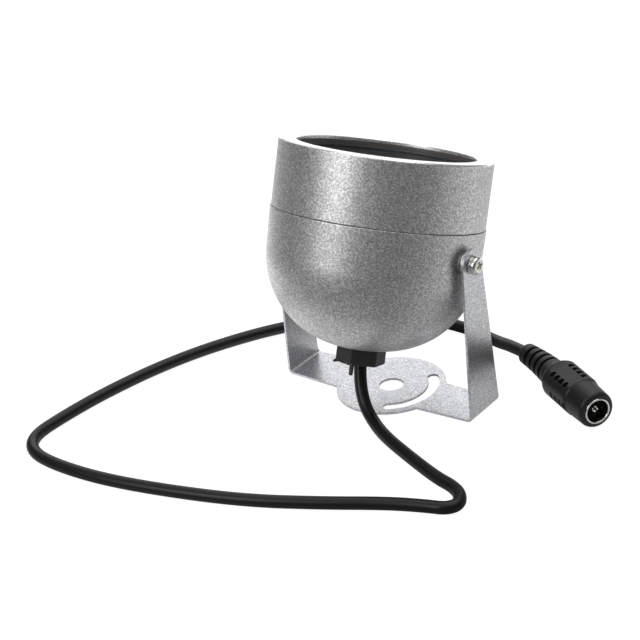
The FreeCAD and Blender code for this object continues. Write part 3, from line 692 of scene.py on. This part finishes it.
def makeStack(values):
    v = values
    gasketInner, gasketLow, gasketTop = v["gasket"]
    glassLow, glassTop, glassRound = v["glass"]
    sleeveInner, sleeveLow, sleeveTop = v["sleeve"]
    addPiece("glassGasket",
             [tubeRing(gasketInner, v["radius"], gasketLow, gasketTop, v["round"], v["steps"])],
             [glassSeal], "head", ["glass_gasket"])
    addPiece("frontGlass", [discPart(v["radius"], glassLow, glassTop, glassRound, v["steps"])],
             [frontGlass], "head", ["front_glass"])
    addPiece("spacerSleeve",
             [tubeRing(sleeveInner, v["radius"], sleeveLow, sleeveTop, v["round"], v["steps"])],
             [sleeveWithPaintedLight], "head", ["spacer_sleeve"])
    addPiece("lampBoard", [discPart(v["radius"], *v["board"], 0.1, v["steps"])],
             [boardMaterial], "head", ["led_board"])
    sensorInner, sensorOuter, sensorLow, sensorTop = v["sensorSleeve"]
    addPiece("sensorSleeve", [tubeRing(sensorInner, sensorOuter, sensorLow, sensorTop, 0.2, 48)],
             [blackSleeve], "head", ["photocell_sleeve"])
    addPiece("lightSensor", [discPart(*v["sensor"], 0.3, 48)], [sensorMaterial], "head",
             ["photocell"])


def lampCentres(circles):
    # Even steps round each circle, one lamp on the head's own x axis
    spans = [radius * np.stack([np.cos(circleAngles(count)), np.sin(circleAngles(count))], -1)
             for count, radius in circles]
    return np.concatenate(spans)


def repeated(part, centres):
    # The part's vertices once for every centre, its faces counted on
    vertices, faces = part
    shift = np.concatenate([centres, np.zeros((len(centres), 1))], 1)
    copies = vertices[None] + shift[:, None]
    counts = np.arange(len(centres))[:, None, None] * len(vertices)
    return copies.reshape(-1, 3), (faces[None] + counts).reshape(-1, faces.shape[1])


def makeLamps(values):
    v = values
    foot, radius = v["foot"], v["radius"]
    domeFoot = foot + v["height"] - radius
    dome = arcPoints(0, domeFoot, radius, 0, 90, 8)
    body = np.concatenate([
        [(0, foot), (v["flange"], foot), (v["flange"], foot + v["flangeTop"] - 0.15),
         (v["flange"] - 0.15, foot + v["flangeTop"]), (radius, foot + v["flangeTop"])],
        dome,
    ])
    centres = lampCentres(v["circles"])
    clear = repeated(turnedPart(body, v["steps"], closed=False), centres)
    addPiece("lamps", [moved(clear, onHead)], [lampEpoxy], "head", ["leds"])
    cupTop = foot + v["cupTop"]
    cup = np.array([
        (0, foot + 0.2), (v["post"], foot + 0.2), (v["post"], cupTop - 1.3),
        (v["cupRadius"], cupTop), (v["cupRadius"] - 0.15, cupTop),
        (v["cupRadius"] - 0.5, cupTop - v["cupDepth"]), (0, cupTop - v["cupDepth"]),
    ])
    cups = repeated(turnedPart(cup, 12, closed=False), centres)
    addPiece("lampCups", [moved(cups, onHead)], [nickel], "head")


makeStack(stackSet)
makeLamps(lampSet)
print("glass, board and lamps ready")


# Cable gland: a hexagon with its edges eased, a moulding tongue and a wisp of flash

glandSet = {
    "flats": 13.7, "corner": 7.84, "turn": 43.2, "top": -32.8, "bottom": -37.9,
    "ease": 0.35, "hole": 2.55, "holeDepth": 3.0, "steps": 240,
    "tongueWidth": 1.55, "tongueThick": 1.2, "tongueLength": 3.2, "tongueTaper": 0.08,
    "flashReach": 0.9, "flashThick": 0.9,
}


def hexRadius(angle, flats, corner, turn):
    # Distance from the centre to a hexagon's side, cut off by a circle at the corners
    step = math.pi / 3
    off = (angle - math.radians(turn)) % step - step / 2
    return np.minimum(flats / 2 / np.cos(off), corner)


def makeGland(values):
    v = values
    angle = circleAngles(v["steps"])
    hexagon = hexRadius(angle, v["flats"], v["corner"], v["turn"])
    ease, top, low, hole = v["ease"], v["top"], v["bottom"], v["hole"]
    # rows (off the hexagon, height) from the top outside, down the side and under
    skin = [(-ease, top), (0, top - ease), (0, top - ease - 0.3), (0, low + ease + 0.3),
            (0, low + ease), (-ease * 0.3, low + ease * 0.3), (-ease, low), (-ease - 0.4, low)]
    # rows (radius, height) up the hole
    bore = [(hole + 0.5, low), (hole + 0.15, low + 0.1), (hole, low + 0.3),
            (hole, low + v["holeDepth"]), (0, low + v["holeDepth"])]
    rows = [(0, top)] + [(hexagon + off, h) for off, h in skin] + bore
    points = np.stack([
        np.stack([r * np.cos(angle), r * np.sin(angle), np.full_like(angle, h)], -1)
        for r, h in rows
    ])
    body = moved(gridPart(points, closeColumns=True), onHead)
    parts = [body, tonguePart(v), flashPart(v)]
    return addPiece("cableGland", parts, [blackNylon], "head",
                    ["cable_gland"], sharp=25)


def cornerOf(values, k):
    angle = math.radians(values["turn"] + 60 * k)
    return values["corner"] * np.array([math.cos(angle), math.sin(angle)])


def tonguePart(values):
    # An oval carried down from the gland's corner, with a round end, curling a little
    v = values
    x, y = cornerOf(v, 4)
    t = np.linspace(0, 1, 22)[:, None]
    angle = circleAngles(20)[None]
    narrow = np.sqrt(np.clip(1 - (2 * np.abs(t - 0.5)) ** 14, 0, 1)) * (1 - v["tongueTaper"] * t)
    height = v["bottom"] + 0.8 - t * (v["tongueLength"] + 0.8)
    points = np.stack([
        x + 0.2 + 0.05 * t ** 2 + 0.5 * v["tongueWidth"] * narrow * np.cos(angle),
        y + 0.55 - 0.2 * t ** 2 + 0.5 * v["tongueThick"] * narrow * np.sin(angle),
        height + 0 * angle,
    ], -1)
    return moved(gridPart(points, closeColumns=True), onHead)


def flashPart(values):
    # A thin sheet left along the lower edge between two corners, with a ragged rim
    v = values
    left, front = cornerOf(v, 3), cornerOf(v, 4)
    t = np.linspace(0, 1, 60)[:, None]
    angle = circleAngles(12)[None]
    out = (left + front) / np.linalg.norm(left + front)
    ragged = 0.5 + 0.3 * np.sin(17 * t) + 0.2 * np.sin(41 * t + 1)
    reach = v["flashReach"] * (np.exp(-((t - 0.03) / 0.07) ** 2) + 0.42 * ragged * (1 - t))
    reach = reach * smoothStep(0, 0.03, t) * smoothStep(1, 0.9, t)
    middle = left + (front - left) * t
    wide = 0.3 + reach
    x = middle[:, :1] + out[0] * (wide * (0.5 + 0.5 * np.cos(angle)) - 0.3)
    y = middle[:, 1:] + out[1] * (wide * (0.5 + 0.5 * np.cos(angle)) - 0.3)
    thick = v["flashThick"] * smoothStep(0, 0.02, t) * smoothStep(1, 0.98, t)
    height = v["bottom"] + 0.25 + 0.5 * thick * np.sin(angle) - 0.35 * reach
    return moved(gridPart(np.stack([x, y, height], -1), closeColumns=True), onHead)


makeGland(glandSet)
print("gland ready")


# Pivot screws with their washers

screwSet = {
    "seat": 36.9, "headRadius": 2.8, "headHeight": 2.1, "round": 1.0, "crown": 0.15,
    "shank": 1.5, "length": 8.0,
    "armHalf": 0.42, "armReach": 1.55, "recess": 1.15, "recessTurn": 30.0,
}
washerSet = {
    "face": 36.3, "thick": 0.7, "squeeze": 0.9, "inner": 1.55, "outer": 2.9, "round": 0.12,
    "gap": 14.0, "climb": 0.0625, "steps": 72,
    "friction": (1.6, 4.0, 34.9, 35.4, 0.08),   # both radii, both faces and the round
}


def screwPart(values, side):
    # Pan head: a shallow cap, then a quarter circle down to the side; the cross is
    # pressed in by two crossed bars of smooth depth
    v = values
    flatRadius = v["headRadius"] - v["round"]
    shoulder = v["headHeight"] - v["crown"]
    cap = np.linspace(0, flatRadius, 22)
    capHeight = v["headHeight"] - v["crown"] * (cap / flatRadius) ** 2
    edge = arcPoints(flatRadius, shoulder - v["round"], v["round"], 90, 0, 8)[1:]
    under = np.array([(v["headRadius"], 0.0), (v["shank"], 0.0), (v["shank"], -v["length"]),
                      (0, -v["length"])])
    profile = np.concatenate([np.stack([cap, capHeight], -1), edge, under])
    angle = circleAngles(96)[None]
    radius, height = profile[:, :1], profile[:, 1:]
    turned = angle - math.radians(v["recessTurn"])
    across, along = radius * np.cos(turned), radius * np.sin(turned)
    bars = [smoothStep(v["armHalf"] + 0.12, v["armHalf"] - 0.12, np.abs(a))
            * smoothStep(v["armReach"], v["armReach"] - 0.55, np.abs(b))
            for a, b in ((across, along), (along, across))]
    deep = v["recess"] * np.maximum(*bars) * (height > shoulder - 0.2)
    points = np.stack([radius * np.cos(angle), radius * np.sin(angle),
                       height - deep + v["seat"]], -1)
    return onHinge(gridPart(points, closeColumns=True), side)


def washerPart(values, side):
    # A rounded rectangle carried round all but the gap, climbing a little as a coil
    v = values
    section = ringSection(v["inner"], v["outer"], 0, v["thick"], v["round"])
    start, end = -90 + v["gap"] / 2, 270 - v["gap"] / 2
    angle = np.radians(np.linspace(start, end, v["steps"]))[:, None]
    climb = v["climb"] * (np.linspace(0, 1, v["steps"])[:, None] - 0.5)
    points = np.stack([section[:, 0] * np.cos(angle), section[:, 0] * np.sin(angle),
                       section[:, 1] * v["squeeze"] + climb + v["face"]], -1)
    ends = np.repeat(points.mean(axis=1)[[0, -1]][:, None], len(section), axis=1)
    points = np.concatenate([ends[:1], points, ends[1:]])
    return onHinge(gridPart(points, closeColumns=True), side)


def frictionPart(values, side):
    # A flat ring with rounded edges, turned about the hinge
    return onHinge(turnedPart(ringSection(*values["friction"]), 64), side)


def makePivots():
    addPiece("pivotScrews", [screwPart(screwSet, 1), screwPart(screwSet, -1)], [nickel],
             "head", ["pivot_screws"])
    addPiece("springWashers", [washerPart(washerSet, 1), washerPart(washerSet, -1)], [nickel],
             "head", ["spring_washers"])
    addPiece("frictionWashers", [frictionPart(washerSet, 1), frictionPart(washerSet, -1)],
             [blackNylon], "head", ["friction_washers"])


makePivots()
print("pivots ready")


# Bracket: the bent sheet with its cut edges eased

bracketSet = {"ease": 0.00014, "steps": 2, "flatAngle": 1.0, "edgeAngle": 30.0}   # ease in metres


def makeBracket(values):
    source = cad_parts["u_bracket"].data
    mesh = source.copy()
    mesh.name = "uBracket"
    work = bmesh.new()
    work.from_mesh(mesh)
    bmesh.ops.remove_doubles(work, verts=work.verts, dist=1e-6)
    bmesh.ops.dissolve_limit(work, angle_limit=math.radians(values["flatAngle"]),
                             verts=work.verts, edges=work.edges)
    work.to_mesh(mesh)
    work.free()
    mesh.materials.clear()
    mesh.materials.append(bracketPaint)
    mesh.polygons.foreach_set("use_smooth", np.ones(len(mesh.polygons), bool))
    mesh.set_sharp_from_angle(angle=math.radians(values["edgeAngle"]))
    bracket = bpy.data.objects.new("uBracket", mesh)
    bpy.context.scene.collection.objects.link(bracket)
    ease = bracket.modifiers.new("ease", "BEVEL")
    ease.width = values["ease"]
    ease.segments = values["steps"]
    ease.limit_method = "ANGLE"
    ease.angle_limit = math.radians(values["edgeAngle"])
    ease.harden_normals = True
    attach(bracket, "bracket")
    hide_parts("u_bracket")
    return bracket


makeBracket(bracketSet)
print("bracket ready")


# Socket at the cable's end

socketSet = {
    "length": 43.0, "face": 0.4, "noseFront": 5.8, "noseBack": 6.15, "noseRound": 1.3,
    "noseEnd": 9.0, "grip": 6.35, "gripEnd": 25.8, "taper": 3.0,
    "boot": 4.7, "bootEnd": 3.4, "bootEndRound": 0.5,
    "panel": 5.5, "panelFrom": 9.8, "panelTo": 23.6,
    "ridge": 0.32, "ridgeAngle": 57.0, "ridgeHalf": 18.0,
    "roll": 8.0,            # flats and notches lie turned towards the viewer by this
    "notchFirst": 11.4, "notchPitch": 2.5, "notchCount": 4, "notchLong": 1.5,
    "notchFromMiddle": (2.5, 4.2), "notchDepth": 1.3,
    "sideNotchFirst": 9.6, "sideNotchAngle": 97.0, "sideNotchHalf": 14.0,
    "sideNotchDepth": 0.8,
    "ribFirst": 39.6, "ribPitch": 3.3, "ribCount": 4, "ribGap": 1.35, "ribCore": 2.5,
    "webAngle": 140.0, "webHalf": 14.0, "webShare": 0.4,
    "well": 4.25, "wellDepth": 9.9, "steps": 160,
}
socketMetalSet = {
    "outer": 4.2, "bore": 3.6, "depth": 9.4, "insulator": 3.5, "insulatorAt": -9.1,
    "rim": (0.3, 0.35),     # rounds of the outer and the inner edge
    "pinRadius": 1.15, "pinTip": -1.1, "pinSlit": 0.55, "pinTurn": -58.0,
}


def slotsAlong(t, starts, long, ease=0.18):
    # 1 within each slot of the given length and 0 between them, with eased edges
    return sum(smoothStep(start, start + ease, t) * smoothStep(start + long, start + long - ease, t)
               for start in starts)


def shellRadius(values, t, angle):
    # Radius by distance t behind the nose's face and angle from the top. A body of
    # revolution, then two ridges exp(-(angle / half)^2), two flats, notches beside them
    # and along the sides, and slots across the boot.
    v = values
    angle = (angle - math.radians(v["roll"])) % (2 * np.pi)
    fromTop = 180 - np.abs(np.degrees(angle) - 180)
    nose = v["noseFront"] + (v["noseBack"] - v["noseFront"]) * np.clip(t / v["noseEnd"], 0, 1)
    into = np.clip(v["noseRound"] - (t - v["face"]), 0, v["noseRound"])
    nose = nose - v["noseRound"] + np.sqrt(v["noseRound"] ** 2 - into ** 2)
    radius = nose + (v["grip"] - nose) * smoothStep(v["noseEnd"], v["noseEnd"] + 0.5, t)
    back = v["gripEnd"]
    alongBoot = np.clip((t - back) / (v["length"] - back), 0, 1)
    bootAt = v["boot"] + (v["bootEnd"] - v["boot"]) * alongBoot
    radius = radius + (bootAt - radius) * smoothStep(back - v["taper"], back + 0.2, t)
    ridge = np.exp(-((fromTop - v["ridgeAngle"]) / v["ridgeHalf"]) ** 2)
    radius = radius + v["ridge"] * ridge * (smoothStep(v["noseEnd"], v["noseEnd"] + 1.5, t)
                                            * smoothStep(back, back - v["taper"], t))
    off = np.minimum(np.abs(np.sin(angle)), 1)
    level = np.abs(np.cos(angle)) * radius
    inPanel = (smoothStep(v["panelFrom"], v["panelFrom"] + 0.5, t)
               * smoothStep(v["panelTo"], v["panelTo"] - 2.2, t))
    drop = np.clip(level - v["panel"], 0, None) / np.maximum(np.abs(np.cos(angle)), 0.2)
    radius = radius - drop * inPanel
    reach = radius * off
    near, far = v["notchFromMiddle"]
    beside = smoothStep(near - 0.12, near + 0.12, reach) * smoothStep(far + 0.12, far - 0.12, reach)
    row = v["notchPitch"] * np.arange(v["notchCount"])
    notches = slotsAlong(t, v["notchFirst"] + row, v["notchLong"])
    radius = radius - v["notchDepth"] * notches * beside * (np.abs(np.cos(angle)) > 0.4)
    fromSide = np.abs(fromTop - v["sideNotchAngle"])
    edge = smoothStep(v["sideNotchHalf"], v["sideNotchHalf"] - 3, fromSide)
    sideNotches = slotsAlong(t, v["sideNotchFirst"] + row, v["notchLong"])
    radius = radius - v["sideNotchDepth"] * sideNotches * edge
    degrees = np.degrees(angle) % 180
    web = smoothStep(v["webHalf"] + 5, v["webHalf"], np.abs(degrees - v["webAngle"]))
    ribStarts = v["ribFirst"] - v["ribGap"] - v["ribPitch"] * np.arange(v["ribCount"])
    depth = (radius - v["ribCore"]) * (1 - v["webShare"] * web)
    return radius - depth * slotsAlong(t, ribStarts, v["ribGap"])


def makeShell(values):
    v = values
    fine = np.arange(v["face"], v["length"] - v["bootEndRound"], 0.12)
    edge = v["face"] + v["noseRound"] * (1 - np.cos(np.linspace(0, np.pi / 2, 10)))
    t = np.unique(np.round(np.concatenate([edge, fine[fine > edge[-1]]]), 4))[:, None]
    angle = circleAngles(v["steps"])[None]
    radius = shellRadius(v, t, angle)
    skin = np.stack([radius * np.cos(angle), radius * np.sin(angle), -t + 0 * angle], -1)

    def rim(size, depth):
        return np.stack([size * np.cos(angle), size * np.sin(angle), -depth + 0 * angle], -1)

    last = v["bootEnd"]
    rows = [
        rim(0, v["wellDepth"]), rim(v["well"], v["wellDepth"]), rim(v["well"], v["face"] + 0.2),
        rim(v["well"] + 0.1, v["face"]), skin,
        rim(last - 0.15, v["length"] - 0.2), rim(last - 0.5, v["length"]), rim(0, v["length"]),
    ]
    part = moved(gridPart(np.concatenate(rows), closeColumns=True), onSocket)
    return addPiece("socketShell", [part], [socketPlastic], "bracket",
                    ["plug_shell"], sharp=38)


def halfPin(values, side):
    # Half of a round pin: its D-shaped section shrinks along a quarter circle at the tip
    v = values
    t = np.linspace(0, np.pi / 2, 8)
    shrink = np.r_[np.ones(1), np.cos(t)][:, None]
    low = v["insulatorAt"]
    height = np.r_[low, v["pinTip"] - v["pinRadius"] * (1 - np.sin(t))][:, None]
    arc = np.linspace(-np.pi / 2, np.pi / 2, 16)
    flat = np.linspace(1, -1, 8)[1:-1]
    outX = np.r_[np.cos(arc), np.zeros(6)] * (v["pinRadius"] - v["pinSlit"] / 2)
    outY = np.r_[np.sin(arc), flat] * v["pinRadius"]
    turn = math.radians(v["pinTurn"])
    apart, across = side * (v["pinSlit"] / 2 + outX * shrink), outY * shrink
    points = np.stack([
        apart * math.cos(turn) - across * math.sin(turn),
        apart * math.sin(turn) + across * math.cos(turn), height + 0 * outX,
    ], -1)
    start = np.repeat(points[:1].mean(axis=1, keepdims=True), points.shape[1], axis=1)
    return moved(gridPart(np.concatenate([start, points]), closeColumns=True), onSocket)


def makeSocketMetal(values):
    v = values
    outline = roundedOutline([
        (v["bore"], -v["depth"], 0), (v["outer"], -v["depth"], 0),
        (v["outer"], 0, v["rim"][0]), (v["bore"], 0, v["rim"][1]),
    ], 6)
    barrel = moved(turnedPart(heldEnds(outline), 96), onSocket)
    core = np.array([(0, -v["depth"]), (v["insulator"], -v["depth"]),
                     (v["insulator"], v["insulatorAt"]), (0, v["insulatorAt"])])
    return [
        addPiece("socketBarrel", [barrel], [nickel], "bracket", ["plug_barrel"]),
        addPiece("socketCore", [moved(turnedPart(core, 64, closed=False), onSocket)],
                 [blackSleeve], "bracket", ["plug_insulator"]),
        addPiece("socketPin", [halfPin(v, 1), halfPin(v, -1)], [nickel], "bracket",
                 ["plug_pin"]),
    ]


socketPieces = [makeShell(socketSet)] + makeSocketMetal(socketMetalSet)
print("socket ready")


# Pieces that stay as the frame has them get their finish here

keptNodes = {
    "board_retainer": blackSleeve,
    "housing_seal": blackSeal,
    "board_resistors": resistorBody,
    "smoothing_capacitor": capacitorSleeve,
    "switch_transistor": blackSleeve,
    "input_terminal": terminalWhite,
    "gland_seal": blackSeal,
    "gland_locknut": blackNylon,
    "wire_red": wireRed,
    "wire_black": wireBlack,
}
for node, material in keptNodes.items():
    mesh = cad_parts[node].data
    mesh.materials.clear()
    mesh.materials.append(material)
print("inner pieces dressed")


# Floor, light and background

studioSet = {                          # lengths here are in metres
    "floorHalf": 3.0, "floorLevel": -0.00002,
    "floorColour": (0.21, 0.21, 0.212),
    "floorGlow": 0.94,
    "shineSoft": 0.05,                 # evens the shine out next to the object
    "shineFrom": (-0.40, 1.0), "shineTone": (0.0, 0.52),
    "farFrom": (0.15, 0.45), "farTone": 1.05,
    "litSide": ((-0.14, 0.04, 0), 0.22, 1.15),     # place, reach and tone of the floor's lit
    "litFront": ((-0.01, -0.045, 0), 0.10, 0.30),  # patches near by
    "litRight": ((0.12, 0.05, 0), 0.17, 0.34),
    "shade": ((-0.005, 0.038, 0), 0.065, -0.85),   # and of the shade behind the bracket
    "darkSide": (-0.22, -0.97, 0.10),  # the way the studio is darkest
    "sideTone": (0.28, 0.13), "turnFrom": (-0.95, -0.30),   # away from it and towards it
    "topTone": 0.75, "topFrom": (0.45, 0.95),
    "key": {"place": (-0.265, -1.12, 0.74), "size": (0.53, 0.80), "watts": 5.6},
    "top": {"place": (0.05, 0.35, 1.30), "size": (1.30, 1.10), "watts": 6.0},
    "back": {"place": (-0.77, 0.90, 0.62), "size": (1.20, 0.90), "watts": 3.65},
    "aim": (0.0, 0.0, 0.045),
}


def mathOf(tree, operation, first, second):
    return addNode(tree, "ShaderNodeMath", {0: first, 1: second}, operation=operation).outputs[0]


def vectorOf(tree, operation, first, second=(0, 0, 0), output="Vector"):
    node = addNode(tree, "ShaderNodeVectorMath", {0: first, 1: second}, operation=operation)
    return node.outputs[output]


def axisOf(tree, vector, axis):
    return addNode(tree, "ShaderNodeSeparateXYZ", {"Vector": vector}).outputs[axis]


def makeFloor(values):
    half, level = values["floorHalf"], values["floorLevel"]
    mesh = bpy.data.meshes.new("studioFloor")
    mesh.from_pydata([(-half, -half, level), (half, -half, level), (half, half, level),
                      (-half, half, level)], [], [(0, 1, 2, 3)])
    floor = bpy.data.objects.new("studioFloor", mesh)
    bpy.context.scene.collection.objects.link(floor)
    material, tree, shader = newMaterial("studioFloor")
    colour = values["floorColour"]
    stops = [(0.3, tuple(c * 0.995 for c in colour)), (0.7, colour)]
    path = addNode(tree, "ShaderNodeLightPath").outputs
    seen = mathOf(tree, "MAXIMUM", path["Is Camera Ray"], path["Is Transmission Ray"])
    glow = mathOf(tree, "MULTIPLY", seen, values["floorGlow"])
    mirrored = mathOf(tree, "MULTIPLY", path["Is Glossy Ray"], floorShine(tree, values))
    setInputs(tree, shader, {
        "Base Color": colourRamp(tree, objectNoise(tree, 4.0), stops),
        "Roughness": 0.9,
        "Emission Color": (1, 1, 1, 1),
        "Emission Strength": mathOf(tree, "ADD", glow, mirrored),
    })
    mesh.materials.append(material)


def floorShine(tree, values):
    # What the paint mirrors of the floor: it grows from the front round to the back, by
    # y / distance, and once more far behind the object, where the studio is white. Lit
    # patches and a shade near the object fade out with the distance from their middles.
    place = objectPlace(tree)
    lifted = vectorOf(tree, "ADD", place, (0, 0, values["shineSoft"]))
    backward = axisOf(tree, vectorOf(tree, "NORMALIZE", lifted), "Y")
    shine = spanOf(tree, backward, *values["shineTone"], *values["shineFrom"])
    far = spanOf(tree, axisOf(tree, place, "Y"), 0.0, values["farTone"], *values["farFrom"],
                 "SMOOTHSTEP")
    shine = mathOf(tree, "ADD", shine, far)
    for patch in ("litSide", "litFront", "litRight", "shade"):
        middle, reach, tone = values[patch]
        away = vectorOf(tree, "DISTANCE", place, middle, "Value")
        shine = mathOf(tree, "ADD", shine, spanOf(tree, away, tone, 0.0, 0.0, reach, "SMOOTHSTEP"))
    return mathOf(tree, "MAXIMUM", shine, 0.0)


def makeWorld(values):
    # White behind and above the object, darker on the viewer's side
    world = bpy.data.worlds.new("studio")
    world.use_nodes = True
    tree = world.node_tree
    direction = addNode(tree, "ShaderNodeTexCoord").outputs["Generated"]
    facing = vectorOf(tree, "DOT_PRODUCT", direction, values["darkSide"], "Value")
    side = spanOf(tree, facing, *values["sideTone"], *values["turnFrom"], "SMOOTHSTEP")
    above = spanOf(tree, axisOf(tree, direction, "Z"), 0.0, values["topTone"],
                   *values["topFrom"], "SMOOTHSTEP")
    path = addNode(tree, "ShaderNodeLightPath")
    whole = addNode(tree, "ShaderNodeMix", {
        "Factor": path.outputs["Is Camera Ray"], "A": mathOf(tree, "MAXIMUM", side, above),
        "B": 1.0,
    })
    setInputs(tree, tree.nodes["Background"],
              {"Color": (1, 1, 1, 1), "Strength": whole.outputs["Result"]})
    bpy.context.scene.world = world


def makeSoftbox(name, values, aim):
    data = bpy.data.lights.new(name, "AREA")
    data.shape = "RECTANGLE"
    data.size, data.size_y = values["size"]
    data.energy = values["watts"]
    lamp = bpy.data.objects.new(name, data)
    place = Vector(values["place"])
    lamp.matrix_world = (Matrix.Translation(place)
                         @ (Vector(aim) - place).to_track_quat("-Z", "Y").to_matrix().to_4x4())
    bpy.context.scene.collection.objects.link(lamp)


makeFloor(studioSet)
makeWorld(studioSet)
for lampName in ("key", "top", "back"):
    makeSoftbox(lampName + "Softbox", studioSet[lampName], studioSet["aim"])
bpy.context.scene.view_settings.view_transform = "Standard"
print("studio ready")
